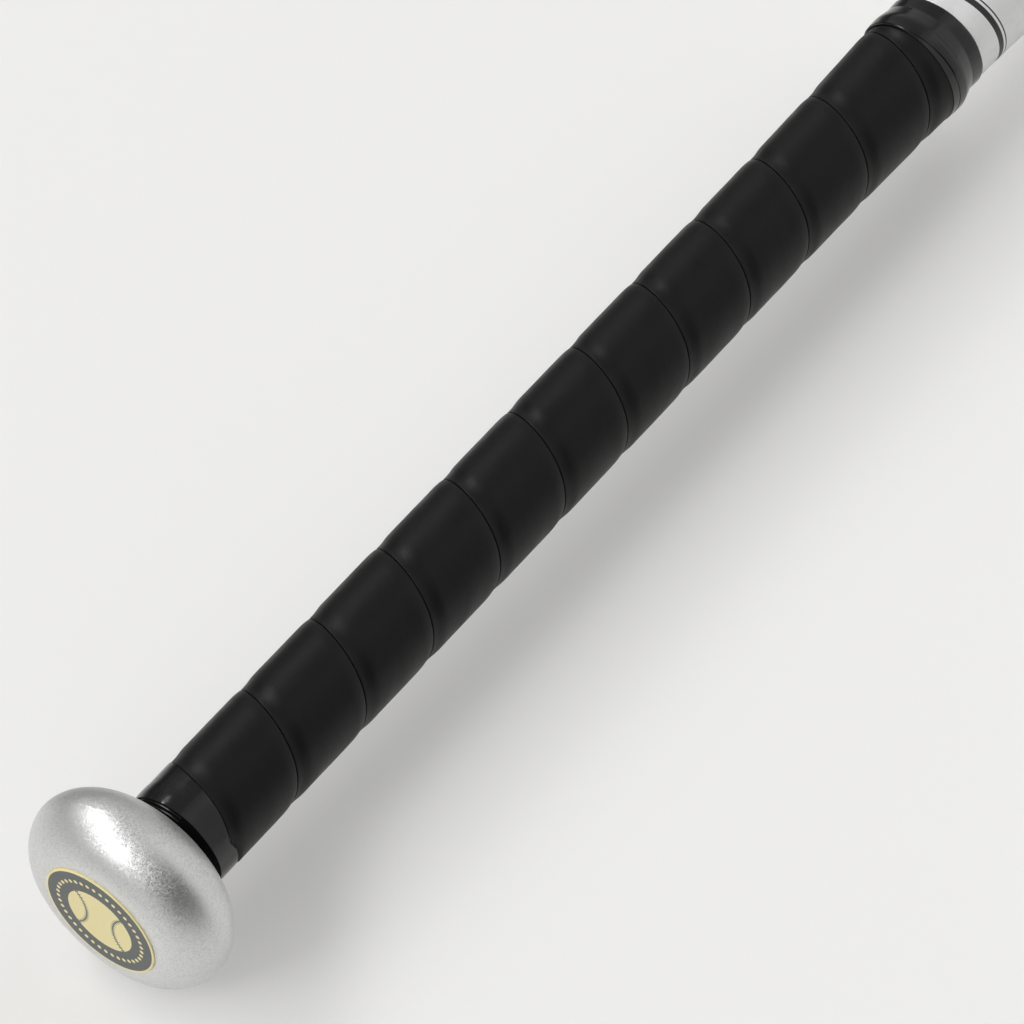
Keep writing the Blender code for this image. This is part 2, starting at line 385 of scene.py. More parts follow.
def vectorMaths(operation, first, second):
    return made(first.tree, "ShaderNodeVectorMath", {0: first, 1: second}, operation=operation)


def stationAndLift(place):
    # how far along the bat, and how far round towards +Y as a share from -1 to 1
    x, y, z = split(place)
    high = z - bat["axisZ"]
    return x - bat["startX"], y / (y * y + high * high).root()


# Grip leather: matt black with pores about a third of a millimetre across. Scales with three
# numbers, here and below, are per metre along each axis
leather = {
    "colour": (0.0042, 0.0042, 0.0044),
    "worn": (0.0070, 0.0069, 0.0069),
    "roughness": 0.37,
    "specular": 0.205,
    "poreSize": 0.00034,
    "poreDepth": 0.000008,
    "creaseSize": 0.0016,
    "creaseDepth": 0.000040,
    "patchScale": (60.0, 140.0, 1.0),
    "edgeWear": (0.0002, 0.0012),
}


def makeLeather():
    material, tree = startFinish("gripLeather", leather)
    place = made(tree, "ShaderNodeAttribute", None, "Vector",
                 attribute_name="stripPlace", attribute_type="GEOMETRY")
    pores = cells(place, 1 / leather["poreSize"]).remap(0.0, 0.45)
    creases = noiseOf(place, 1 / leather["creaseSize"], 4.0, 0.6)
    patches = noiseOf(stretched(place, leather["patchScale"]), 1.0)
    onePlace, fromEdge, toEdge = split(place)
    rubbed = fromEdge.least(toEdge).remap(*leather["edgeWear"], 1.0, 0.0) * 0.5 + patches * 0.5
    poreBump = bumped(pores, leather["poreDepth"])
    return endFinish(material, {
        "Base Color": mixed(rubbed.held(), leather["colour"], leather["worn"]),
        "Roughness": patches.spread(leather["roughness"], 0.05, 0.07) + pores * 0.04,
        "Normal": bumped(creases, leather["creaseDepth"], Normal=poreBump),
    })


# Tape: glossy black vinyl, stretched on by hand, and dull from its gum at the knob
vinyl = {
    "colour": (0.0020, 0.0020, 0.0021),
    "roughness": 0.15,
    "rippleScale": (90.0, 260.0, 260.0),
    "rippleDepth": 0.00004,
    "scuffScale": (1400.0, 500.0, 500.0),
}
tapeLip = {
    "colour": vinyl["colour"],
    "roughness": 0.70,
    "specular": 0.06,
    "smearScale": 900.0,
}


def makeVinyl():
    material, tree = startFinish("tapeVinyl", vinyl)
    place = objectPlace(tree)
    pulled = noiseOf(stretched(place, vinyl["rippleScale"]), 1.0)
    scuffs = noiseOf(stretched(place, vinyl["scuffScale"]), 1.0, 3.0, 0.6)
    return endFinish(material, {
        "Roughness": scuffs.remap(0.35, 0.75, vinyl["roughness"] - 0.03, vinyl["roughness"] + 0.08),
        "Normal": bumped(pulled, vinyl["rippleDepth"]),
    })


def makeLipVinyl():
    material, tree = startFinish("tapeLip", tapeLip)
    smeared = noiseOf(objectPlace(tree), tapeLip["smearScale"])
    return endFinish(material, {"Roughness": smeared.spread(tapeLip["roughness"], 0.1, 0.1)})


# Knob paint: silver with metal flakes, each flake turned its own way, a few pits, and near black
# from its collar on
knobPaint = {
    "colour": (0.77, 0.77, 0.765),
    "dark": (0.62, 0.62, 0.615),
    "pit": (0.12, 0.12, 0.12),
    "collarBlack": (0.02, 0.02, 0.02),
    "roughness": 0.445,
    "metallic": 0.97,
    "flakeSize": 0.00022,
    "flakeTilt": 0.19,
    "pitSpacing": 0.0065,
    "pitRadius": 0.00016,
    "collarFrom": 0.02206,
    "collarFade": 0.00006,
}


def makeKnobPaint():
    material, tree = startFinish("knobFlakePaint", knobPaint)
    place = objectPlace(tree)
    flakes = cells(place, 1 / knobPaint["flakeSize"], "Color")
    red, green, blue = split(flakes)
    tilt = vectorMaths("ADD", flakes, (-0.5, -0.5, -0.5))
    tilt = vectorMaths("MULTIPLY", tilt, (knobPaint["flakeTilt"],) * 3)
    normal = made(tree, "ShaderNodeNewGeometry", output="Normal")
    turned = vectorMaths("ADD", normal, tilt)
    turned = made(tree, "ShaderNodeVectorMath", {0: turned}, operation="NORMALIZE")
    pits = cells(place, 1 / knobPaint["pitSpacing"]) * knobPaint["pitSpacing"]
    pitted = pits.remap(knobPaint["pitRadius"] * 0.5, knobPaint["pitRadius"], 1.0, 0.0)
    station, lift = stationAndLift(place)
    # the paint turns near black from the collar's station on towards the barrel
    collar = knobPaint["collarFrom"]
    blackCollar = station.remap(collar, collar + knobPaint["collarFade"])
    colour = mixed(red * red, knobPaint["colour"], knobPaint["dark"])
    colour = mixed(pitted, colour, knobPaint["pit"])
    rough = green.remap(0.0, 1.0, knobPaint["roughness"] - 0.04, knobPaint["roughness"] + 0.06)
    return endFinish(material, {"Base Color": mixed(blackCollar, colour, knobPaint["collarBlack"]),
                                "Roughness": rough + pitted * 0.3, "Normal": turned})


# Tube: satin silver with two printed bands beside the grip and two further on
tubeFinish = {
    "colour": (0.875, 0.875, 0.87),
    "dull": (0.73, 0.73, 0.725),
    "ink": (0.016, 0.016, 0.017),
    "roughness": 0.40,
    "metallic": 0.45,
    "bands": [(0.30925, 0.3109), (0.3116, 0.3120), (0.3520, 0.3524), (0.3533, 0.3549)],
    "bandSlant": 0.0018,
    "brushScale": (1 / 0.00012, 60.0, 60.0),
    "brushDepth": 0.0000048,
    "scuffScale": (180.0, 420.0, 420.0),
}


def makeTubeFinish():
    material, tree = startFinish("tubeSatinSilver", tubeFinish)
    place = objectPlace(tree)
    station, lift = stationAndLift(place)
    station = station + lift * tubeFinish["bandSlant"]
    ink = anyOf(*[(station > low) * (station < high) for low, high in tubeFinish["bands"]])
    brushing = noiseOf(stretched(place, tubeFinish["brushScale"]), 1.0, 3.0, 0.7)
    scuffs = noiseOf(stretched(place, tubeFinish["scuffScale"]), 1.0, 4.0, 0.65)
    shade = brushing.remap(0.3, 0.7, 0.0, 0.35) + scuffs.remap(0.55, 0.8, 0.0, 0.5)
    metal = mixed(shade.held(), tubeFinish["colour"], tubeFinish["dull"])
    rough = brushing.spread(tubeFinish["roughness"], 0.03, 0.04)
    return endFinish(material, {
        "Base Color": mixed(ink, metal, tubeFinish["ink"]),
        "Metallic": (1.0 - ink) * tubeFinish["metallic"],
        "Roughness": rough + scuffs.remap(0.55, 0.8, 0.0, 0.06),
        "Normal": bumped(brushing, tubeFinish["brushDepth"]),
    })


# Badge: cream print on a slate field, a ball with its stitched seams inside a ring of dots
badgePrint = {
    "colour": (0.067, 0.080, 0.076),
    "worn": (0.16, 0.16, 0.16),
    "cream": (0.950, 0.835, 0.425),
    "creamWorn": (0.83, 0.74, 0.46),
    "roughness": 0.36,
    "grainScale": 2500.0,
    "inkHeight": 0.00002,
    "radius": 0.0150,
    "rimWidth": 0.00060,
    "ballRadius": 0.0088,
    "seamBend": 0.0088,
    "seamReach": 0.0124,
    "seamWidth": 0.00036,
    "stitchCount": 62,
    "stitchShare": 0.16,
    "stitchLength": 0.0012,
    "dotRing": 0.0116,
    "dotRadius": 0.00052,
    "dotCount": 40,
}


def makeBadgePrint():
    material, tree = startFinish("badgePrint", badgePrint)
    x, y, z = split(objectPlace(tree))
    right, upward = y * -1.0, z - bat["axisZ"]
    reach = (right * right + upward * upward).root()
    rim = reach > badgePrint["radius"] - badgePrint["rimWidth"]
    ball = reach < badgePrint["ballRadius"]
    drawn = []
    for side in (-1, 1):
        fromBend = right - side * badgePrint["seamReach"]
        bend = (fromBend * fromBend + upward * upward).root()
        offSeam = (bend - badgePrint["seamBend"]).size()
        stitches = badgePrint["stitchCount"] / (2 * math.pi)
        tick = (upward.turnFrom(fromBend) * stitches).fraction()
        inTick = (tick - 0.5).size() < badgePrint["stitchShare"]
        drawn += [inTick * (offSeam < badgePrint["stitchLength"] / 2),
                  offSeam < badgePrint["seamWidth"] / 2]
    beads = badgePrint["dotCount"] / (2 * math.pi)
    aroundDot = (upward.turnFrom(right) * beads).fraction() - 0.5
    aroundDot = aroundDot * (badgePrint["dotRing"] / beads)
    outDot = reach - badgePrint["dotRing"]
    dots = (aroundDot * aroundDot + outDot * outDot).root() < badgePrint["dotRadius"]
    printed = anyOf(ball * (1.0 - anyOf(*drawn)), rim, dots)
    grain = noiseOf(objectPlace(tree), badgePrint["grainScale"], 3.0)
    slate = mixed(grain.remap(0.3, 0.7, 0.0, 0.15), badgePrint["colour"], badgePrint["worn"])
    cream = mixed(grain.remap(0.3, 0.7, 0.0, 0.2), badgePrint["cream"], badgePrint["creamWorn"])
    return endFinish(material, {
        "Base Color": mixed(printed, slate, cream),
        "Roughness": printed * 0.08 + badgePrint["roughness"],
        "Normal": bumped(printed, badgePrint["inkHeight"]),
    })


# Weld bead: near black, with a few brighter patches
beadFinish = {
    "colour": (0.030, 0.029, 0.029),
    "bright": (0.30, 0.30, 0.30),
    "roughness": 0.30,
    "metallic": 0.4,
    "brightPatchScale": 900.0,
    "grainScale": 2600.0,
    "grainDepth": 0.00003,
}


def makeBeadFinish():
    material, tree = startFinish("weldBead", beadFinish)
    place = objectPlace(tree)
    # a few patches stay bright; the rest of the bead is near black
    brightPatches = noiseOf(place, beadFinish["brightPatchScale"], 3.0, 0.6).remap(0.62, 0.8)
    grain = noiseOf(place, beadFinish["grainScale"], 3.0)
    return endFinish(material, {
        "Base Color": mixed(brightPatches, beadFinish["colour"], beadFinish["bright"]),
        "Roughness": brightPatches * 0.25 + beadFinish["roughness"],
        "Normal": bumped(grain, beadFinish["grainDepth"]),
    })


capFinish = {
    "colour": (0.020, 0.020, 0.021),
    "scuffed": (0.045, 0.044, 0.043),
    "roughness": 0.5,
    "sparkScale": 3600.0,
    "sparkDepth": 0.00004,
    "scuffScale": (1.0, 120.0, 700.0),
}


def makeCapFinish():
    material, tree = startFinish("capMoulding", capFinish)
    place = objectPlace(tree)
    spark = noiseOf(place, capFinish["sparkScale"], 3.0, 0.6)
    scuffs = noiseOf(stretched(place, capFinish["scuffScale"]), 1.0, 5.0, 0.7)
    return endFinish(material, {
        "Base Color": mixed(scuffs.remap(0.58, 0.75), capFinish["colour"], capFinish["scuffed"]),
        "Roughness": spark.spread(capFinish["roughness"], 0.06, 0.1),
        "Normal": bumped(spark, capFinish["sparkDepth"]),
    })


# Damper foam: dark grey cells, with painted shade darkening each cell's hollow
foamFinish = {
    "colour": (0.10, 0.10, 0.11),
    "hollowShade": (0.03, 0.03, 0.033),
    "roughness": 0.95,
    "cellSize": 0.0012,
    "cellDepth": 0.0006,
}


def makeFoamFinish():
    material, tree = startFinish("damperFoam", foamFinish)
    bubbles = cells(objectPlace(tree), 1 / foamFinish["cellSize"])
    return endFinish(material, {
        # painted shade: darker towards each cell's middle, where the bump dips
        "Base Color": mixed(bubbles.remap(0.0, 0.6, 1.0, 0.0),
                            foamFinish["colour"], foamFinish["hollowShade"]),
        "Normal": bumped(bubbles, foamFinish["cellDepth"]),
    })


gripLeather = makeLeather()
tapeVinyl = makeVinyl()
lipVinyl = makeLipVinyl()
flakePaint = makeKnobPaint()
tubeSilver = makeTubeFinish()
badgeInk = makeBadgePrint()
beadMetal = makeBeadFinish()
capRubber = makeCapFinish()
damperFoam = makeFoamFinish()
print("finishes ready")


# Knob tape. Its barrel-side edge is set against the turn from the seam's phase: a flag runs along
# the first seam in front, and the rest of the band is cut nearly square. Below the rim its lip is
# pressed down to the knob's collar and is wrinkled on one side, from low to high in degrees
knobTape = {
    "squareEnd": 0.0322,
    "nearEnd": 0.0307,
    "flagLow": -0.1167,
    "flagEnd": 0.4167,
    "flagCut": 0.0667,
    "gap": 0.00022,
    "innerRadius": 0.0123,
    "innerEnd": 0.02445,
    "throat": (0.0119, 0.0241),
    "thickness": 0.00042,
    "segments": 216,
    "rim": 0.02495,
    "rimWave": 0.00010,
    "lipStart": 0.0235,
    "lipEnd": 0.0227,
    "lipInner": 0.01136,
    "lipSlope": 0.2125,
    "lipBend": 114.0,
    "lipRings": 12,
    "shinyRings": (2, 6),
    "wrinkled": (-12.0, 10.0, 45.0, 20.0),  # low, its fade, high, its fade
    "foldHeight": 0.00002,
    "foldsAround": 31,
    "foldsAlong": 900,
    "foldReach": (0.0008, 0.002),
    "rippleHeight": 0.0000175,
    "layerHeight": 0.00009,
    "layerStation": 0.0296,
    "layerWave": 0.00025,
    "layerStep": 0.00012,
    "edgeRound": 0.00004,
}
tapeEdgeLine = [
    (-0.5, knobTape["squareEnd"]),
    (-0.36, blend(knobTape["squareEnd"], knobTape["nearEnd"], 0.7)),
    (-0.25, knobTape["nearEnd"]),
    (knobTape["flagLow"] - 0.04, knobTape["nearEnd"] - 0.0002),
    *[(turn + 1, station - knobTape["gap"]) for turn, station in seamLine[1:7]],
    (knobTape["flagEnd"], along(seamLine, knobTape["flagEnd"] - 1) - knobTape["gap"]),
    (knobTape["flagEnd"] + knobTape["flagCut"], knobTape["squareEnd"]),
    (0.5, knobTape["squareEnd"]),
]

# Grip wrap: one strip wound round the handle. Beside each seam the earlier turn rounds down, and
# the later one starts low, runs level and then climbs, as it does over the edge that it overlaps
grip = {
    "Start": 0.0262,
    "End": 0.2964,
    "Thickness": 0.0017,
    "Level run": 0.0010,
    "Climb end": 0.0045,
    "Shoulder": 0.0031,
    "Edge depth": 0.00030,
    "Edge round": 0.00012,
    "Seam gap": 0.00025,
    "Clearance": 0.0003,
    "Knob tape press": 0.0008,
    "Top tape press": 0.0004,
    "Top tape start": 0.2935,
    "Press run": 0.0006,
    "Wrinkle height": 0.00005,
    "Wrinkle seed": 7.0,
    "Rings per turn": 96,
    "Outer points": 42,
    "Inner points": 6,
}
cutTip = 0.0010  # the strip's two ends are cut where it is still this wide
girth = 2 * math.pi * 0.0128  # once round the strip's outside
wrinkleSize = (0.011, 0.006)  # round the handle and along it
crowding = 0.91  # how much nearer to one another the points lie beside the strip's edges
endHeight = 0.45  # where a cut end's faces meet, as a share of the thickness


def makeGripTree(sizes):
    tree, wire = startTree("gripStrip", sizes)
    across = wire["Outer points"] + wire["Inner points"] + 1.0
    sheet, ring, spot = startGrid(tree, wire["Rings"] + 2.0, across)
    spot = spot * (spot < across - 1.5)  # the last column closes on the first
    onCap = (ring < 0.5).most(ring > wire["Rings"] + 0.5)
    steps = (ring - 1.0).most(0.0).least(wire["Rings"] - 1.0)
    turn = wire["First turn"] + steps / wire["Rings per turn"]

    def seamAt(turnWire):
        return turnWire.curve(seamLine, (-3.0, 13.0), (-0.02, 0.34))

    start = seamAt(turn).most(wire["Start"])
    end = (seamAt(turn + 1.0) - wire["Seam gap"]).least(wire["End"])
    width = end - start
    share = (spot / (wire["Outer points"] - 1.0)).held()
    crowded = share - (share * (2 * math.pi)).sine() * (crowding / (2 * math.pi))
    back = ((spot - wire["Outer points"]) / (wire["Inner points"] - 1.0)).held()
    inside = spot > wire["Outer points"] - 0.5
    station = start + width * (crowded * (1.0 - inside) + (1.0 - back) * inside)

    fullWidth = wire["Climb end"] + wire["Shoulder"] + 2.0 * wire["Press run"]
    scale = (width / fullWidth).least(1.0)
    climb = (station - start).remap(wire["Level run"] * scale, wire["Climb end"] * scale,
                                    wire["Edge depth"], 0.0, "SMOOTHSTEP")
    shoulder = (1.0 - (end - station) / (wire["Shoulder"] * scale)).held()
    corner = (1.0 - (station - start).least(end - station) / wire["Edge round"]).held()
    rounded = wire["Edge round"] * (1.0 - (1.0 - corner * corner).root())
    loss = climb.most(wire["Edge depth"] * shoulder * shoulder) + rounded
    tapeTurn = turn + 2.0 - (turn > -1.5)
    low = tapeTurn.curve(tapeEdgeLine, (-0.5, 0.5), (0.02, 0.05)) + wire["Clearance"]
    nearKnob = (1.0 - (station - low) / wire["Press run"]).held()
    nearKnob = nearKnob * (turn < knobTape["flagLow"] - 1.0)
    nearTop = (station - wire["Top tape start"] + wire["Clearance"]) / wire["Press run"] + 1.0
    nearTop = nearTop.held()
    press = (nearKnob * wire["Knob tape press"]).most(nearTop * wire["Top tape press"])
    wrinklePlace = vectorOf(tree, turn * (girth / wrinkleSize[0]),
                            (station - start) / wrinkleSize[1], wire["Wrinkle seed"])
    wrinkle = noiseOf(wrinklePlace, 1.0) - 0.5
    free = 1.0 - nearKnob.most(nearTop)
    height = wire["Thickness"] - loss.most(press) + wrinkle * wire["Wrinkle height"] * 2.0 * free

    tube = station.remap(bat["taperStart"], bat["taperEnd"], bat["handleRadius"],
                         bat["barrelRadius"], "SMOOTHERSTEP")
    radius = tube + height * (1.0 - inside) + wire["Clearance"] * inside
    # each cut end closes on a point in its middle
    middle = (start + end) * 0.5
    station = station + (middle - station) * onCap
    radius = radius + (tube + wire["Thickness"] * endHeight - radius) * onCap
    strip = setRound(tree, sheet, station, radius, turn * (2 * math.pi) + wrapPhase)
    marked = addNode(tree, "GeometryNodeStoreNamedAttribute",
                     {"Geometry": strip, "Name": "stripPlace"},
                     data_type="FLOAT_VECTOR", domain="POINT")
    plug(tree, vectorOf(tree, turn * girth, station - start, end - station), marked.inputs["Value"])
    return endTree(tree, Wire(tree, marked.outputs[0]), wire["Leather"])


def makeGrip():
    turnAt = [(station, turn) for turn, station in seamLine]
    firstTurn = along(turnAt, grip["Start"] + cutTip + grip["Seam gap"]) - 1
    lastTurn = along(turnAt, grip["End"] - cutTip)
    sizes = {**grip, "First turn": firstTurn, "Leather": gripLeather,
             "Rings": int((lastTurn - firstTurn) * grip["Rings per turn"])}
    return growPiece("gripStrip", makeGripTree, sizes, 50)


def wobble(angle, seed):
    # a smooth line from -1 to 1 that closes after one turn
    return (math.sin(2 * angle + seed) + math.sin(5 * angle + 2.3 * seed) * 0.7
            + math.sin(9 * angle + 4.1 * seed) * 0.5) / 2.2


def makeKnobTape():
    inner = knobTape["innerRadius"]
    outer = inner + knobTape["thickness"]
    low, lowFade, high, highFade = knobTape["wrinkled"]

    def rimAt(angle):
        return knobTape["rim"] + knobTape["rimWave"] * wobble(angle, 1.3)

    def lipAt(angle):
        rim = rimAt(angle)
        turn = math.degrees((angle + math.pi) % (2 * math.pi) - math.pi)
        crumpled = smooth((turn - low) / lowFade) * smooth((high - turn) / highFade)
        foldFrom, foldTo = knobTape["foldReach"]
        lip = []
        for step in range(knobTape["lipRings"], 0, -1):
            below = (rim - knobTape["lipEnd"]) * step / knobTape["lipRings"]
            fold = math.sin(math.radians(turn) * knobTape["foldsAround"]
                            + knobTape["foldsAlong"] * below)
            fold *= smooth(below / foldFrom) * (1 - smooth(below / foldTo))
            fall = knobTape["lipSlope"] * below + knobTape["lipBend"] * below * below
            lip.append((outer - fall + knobTape["foldHeight"] * crumpled * fold, rim - below))
        return lip

    def profileAt(angle):
        share = ((angle - wrapPhase) / (2 * math.pi) + 0.5) % 1.0 - 0.5
        rim, edge = rimAt(angle), along(tapeEdgeLine, share)
        # on the far side the tape lies double up to this line
        layer = knobTape["layerHeight"] * smooth((math.sin(angle - 0.1) + 0.1) * 4)
        line = knobTape["layerStation"] + knobTape["layerWave"] * wobble(angle, 5.1)
        line, step = min(line, edge - 0.0014), knobTape["layerStep"]
        near, far = line - 5 * step, line + 5 * step
        body = [blend(rim + 0.001, near, share) for share in (0.35, 0.7)]
        body += [near, line - step, line]
        body += [blend(far, edge - 0.0006, place / 8) for place in range(9)]
        outside = lipAt(angle) + [(outer, rim + 0.00003), (outer, rim + 0.0009)]
        for station in body:
            over = layer if station < line - step / 2 else 0.0
            ripple = math.sin(700 * station + 3 * wobble(angle, 6.0))
            outside.append((outer + over + knobTape["rippleHeight"] * ripple, station))
        corner = knobTape["edgeRound"]
        outside += [(outer, edge - 0.00030), (outer, edge - corner),
                    (outer - corner, edge), (outer - 0.00022, edge)]
        inside = [(inner, edge - corner / 2), (inner, blend(edge, rim, 0.5)),
                  (inner, knobTape["innerEnd"]), knobTape["throat"],
                  (knobTape["lipInner"], knobTape["lipStart"]),
                  (knobTape["lipInner"], knobTape["lipEnd"])]
        return outside + inside

    sleeve = loopedSleeve("knobTapeSleeve", profileAt, knobTape["segments"], tapeVinyl, 11)
    # the pressed-down lip is dull, but for two folds on its wrinkled side
    sleeve.data.materials.append(lipVinyl)
    ringDepth = (knobTape["rim"] - knobTape["lipEnd"]) / knobTape["lipRings"]
    for face in sleeve.data.polygons:
        angle = math.atan2(face.center.y, face.center.z - bat["axisZ"])
        below = bat["startX"] + rimAt(angle) - face.center.x
        folded = (int(below / ringDepth) in knobTape["shinyRings"]
                  and low < math.degrees(angle) < high)
        face.material_index = 1 if below > 0 and not folded else 0
    return sleeve


# Top tape: its two layers end on the wrap a little apart, and it slopes from the wrap's end down
# to the handle. What slants does so with the share of the way round towards +Y
topTape = {
    "overWrap": 0.0016,
    "lowEdge": 0.29255,
    "lowSlant": 0.00115,
    "highEdge": 0.2931,
    "highSlant": -0.00055,
    "leastOverlap": 0.0002,
    "firstLayer": 0.00028,
    "bothLayers": 0.00038,
    "overHandle": 0.00008,
    "looseness": 0.0008,
    "end": 0.3043,
    "endWave": 0.00012,
    "segments": 216,
    "stepStart": 0.2960,
    "stepSlant": 0.0004,
    "stepRun": 0.0047,
    "stepRounding": 0.25,
    "stepRings": 15,
    "wave": 0.00003,
}


def makeTopTape():
    single, double = topTape["firstLayer"], topTape["bothLayers"]
    overHandle, rounding = topTape["overHandle"], topTape["stepRounding"]

    def wrapTop(station):
        return tubeRadius(station) + topTape["overWrap"]

    def profileAt(angle):
        lift = math.sin(angle)
        lowEdge = topTape["lowEdge"] + topTape["lowSlant"] * lift
        highEdge = topTape["highEdge"] + topTape["highSlant"] * lift
        highEdge = max(highEdge, lowEdge + topTape["leastOverlap"])
        step = topTape["stepStart"] + topTape["stepSlant"] * lift
        foot = step + topTape["stepRun"]
        end = topTape["end"] + topTape["endWave"] * wobble(angle, 2.2)

        def wavy(station):
            return topTape["wave"] * math.sin(900 * station + 2.5 * wobble(angle, 3.7))

        # both layers' edges, each with a rounded corner, and a nick between the two
        outside = [(wrapTop(edge) + height, edge + ahead) for edge, height, ahead in (
            (lowEdge, 0.00003, 0.0),
            (lowEdge, single - 0.00006, 0.00001),
            (lowEdge, single, 0.00006),
            (highEdge, single, -0.00001),
            (highEdge, single - 0.00003, 0.00001),
            (highEdge, single - 0.00003, 0.00004),
            (highEdge, double - 0.00002, 0.00006),
            (highEdge, double, 0.00010))]
        for place in range(10):
            station = blend(highEdge + 0.0004, step, place / 9)
            wave = wavy(station) * smooth(place / 3)
            outside.append((wrapTop(station) + double + wave, station))
        # on the far side more tape is bunched up over the handle
        bunched = double + topTape["looseness"] * max(0.0, lift) ** 2
        top, base = wrapTop(step) + double, tubeRadius(foot) + overHandle + bunched
        for place in range(1, topTape["stepRings"]):
            # a rounded start, then a straight slope down to the handle
            share = place / topTape["stepRings"]
            fall = share * share / (2 * rounding) if share < rounding else share - rounding / 2
            outside.append((blend(top, base, fall / (1 - rounding / 2)),
                            step + topTape["stepRun"] * share))
        for place in (0, 0.25, 1, 2, 3, 4, 5):
            station = blend(foot, end - 0.0002, place / 5)
            wave = wavy(station) * 0.5 * smooth(place / 2)
            outside.append((tubeRadius(station) + overHandle + bunched + wave, station))
        outside += [
            (tubeRadius(end) + overHandle + bunched - 0.00003, end - 0.00008),
            (tubeRadius(end) + overHandle + bunched - 0.00012, end),
        ]
        inside = [
            (tubeRadius(end) + overHandle, end),
            (tubeRadius(foot) + overHandle, foot),
            (wrapTop(grip["End"]), grip["End"] + 0.0001),
            (wrapTop(lowEdge + 0.0002), lowEdge + 0.0002),
        ]
        return outside + inside

    return loopedSleeve("topTapeSleeve", profileAt, topTape["segments"], tapeVinyl, 40)


knob = {
    "radius": 0.0258,
    "length": 0.0220,
    "faceRadius": 0.0168,
    "neckRadius": 0.0135,
    "widestStation": 0.0100,
    "fullness": 1.8,
    "frontCrowding": 1.8,
    "frontSteps": 36,
    "shoulder": 0.70,
    "backSteps": 30,
    "neckRound": 0.0003,
    "collarRadius": 0.0113,
    "collarEnd": 0.0242,
    "seatRadius": 0.01502,
    "seatDepth": 0.0006,
    "seatRound": 0.00012,
    "spigotRadius": 0.0082,
    "spigotEnd": 0.0392,
    "spigotChamfer": 0.0010,
    "boreRadius": 0.0050,
    "boreFloor": 0.0132,
    "segments": 192,
}


def makeKnob():
    seat, seatRound = knob["seatRadius"], knob["seatRound"]
    outline = [(0.0, knob["seatDepth"]), (seat * 0.5, knob["seatDepth"]),
               (seat, knob["seatDepth"]), (seat, seatRound)]
    outline += arc((seat + seatRound, seatRound), seatRound, 200, 270, 3)
    for step in range(knob["frontSteps"]):
        share = (step / knob["frontSteps"]) ** knob["frontCrowding"]
        bulge = (1 - (1 - share) ** knob["fullness"]) ** (1 / knob["fullness"])
        outline.append((blend(knob["faceRadius"], knob["radius"], bulge),
                        knob["widestStation"] * share))
    for step in range(knob["backSteps"] + 1):
        turn = step / knob["backSteps"] * math.pi / 2
        reach = blend(step / knob["backSteps"], math.sin(turn), knob["shoulder"])
        outline.append((blend(knob["neckRadius"], knob["radius"], math.cos(turn)),
                        blend(knob["widestStation"], knob["length"], reach)))
    outline += [
        (knob["neckRadius"] - knob["neckRound"], knob["length"] + 0.00008),
        (knob["collarRadius"] + knob["neckRound"], knob["length"] + 0.00016),
        (knob["collarRadius"], knob["length"] + 0.00046),
        (knob["collarRadius"], knob["collarEnd"]),
        (knob["spigotRadius"], knob["collarEnd"] + 0.00008),
        (knob["spigotRadius"], knob["spigotEnd"] - knob["spigotChamfer"]),
        (knob["spigotRadius"] - knob["spigotChamfer"], knob["spigotEnd"]),
        (knob["boreRadius"], knob["spigotEnd"]),
        (knob["boreRadius"], knob["boreFloor"] + knob["boreRadius"] / 2),
        (0.0, knob["boreFloor"]),
    ]
    return lathe("knobBody", outline, knob["segments"], flakePaint, 28)


badge = {"top": -0.0003, "bottom": 0.0003, "edge": 0.00018, "segments": 144}


def makeBadge():
    radius, edge = badgePrint["radius"], badge["edge"]
    outline = [(radius * share, badge["top"]) for share in (0.0, 0.25, 0.5, 0.75, 0.93)]
    outline += arc((radius - edge, badge["top"] + edge), edge, -90, 0, 5)
    outline += [(radius * share, badge["bottom"]) for share in (1.0, 0.5, 0.0)]
    return lathe("badgeDisc", outline, badge["segments"], badgeInk, 50)


def makeTube():
    lipCentre = (bat["barrelRadius"] - bat["lipRadius"], bat["tubeEnd"] - bat["lipRadius"])
    steps = bat["taperSteps"]
    stations = [blend(bat["taperStart"], bat["taperEnd"], step / steps)
                for step in range(steps + 1)]
    outside = [(bat["handleRadius"], bat["tubeStart"]), (bat["handleRadius"], 0.1)]
    outside += [(tubeRadius(station), station) for station in stations]
    outside += [(bat["barrelRadius"], 0.7), (bat["barrelRadius"], 0.8)]
    outside += arc(lipCentre, bat["lipRadius"], 0, 90, 14)
    inside = arc(lipCentre, bat["lipRadius"] - bat["barrelWall"], 90, 0, 8)
    inside += [(tubeRadius(station) - tubeWall(station), station)
               for station in reversed(stations[::3])]
    inside += [(bat["handleRadius"] - bat["handleWall"], bat["tubeStart"])]
    return lathe("batTube", outside + inside, bat["segments"], tubeSilver, 30)


# Weld bead: ripples laid one on the next round the knob's neck
bead = {
    "Inner radius": 0.0114,
    "Station": 0.0245,
    "Leg": 0.00082,
    "Ripple height": 0.00007,
    "Ripple fullness": 0.6,
    "Ripples": 52,
    "Steps around": 312,
    "Steps across": 12,
}


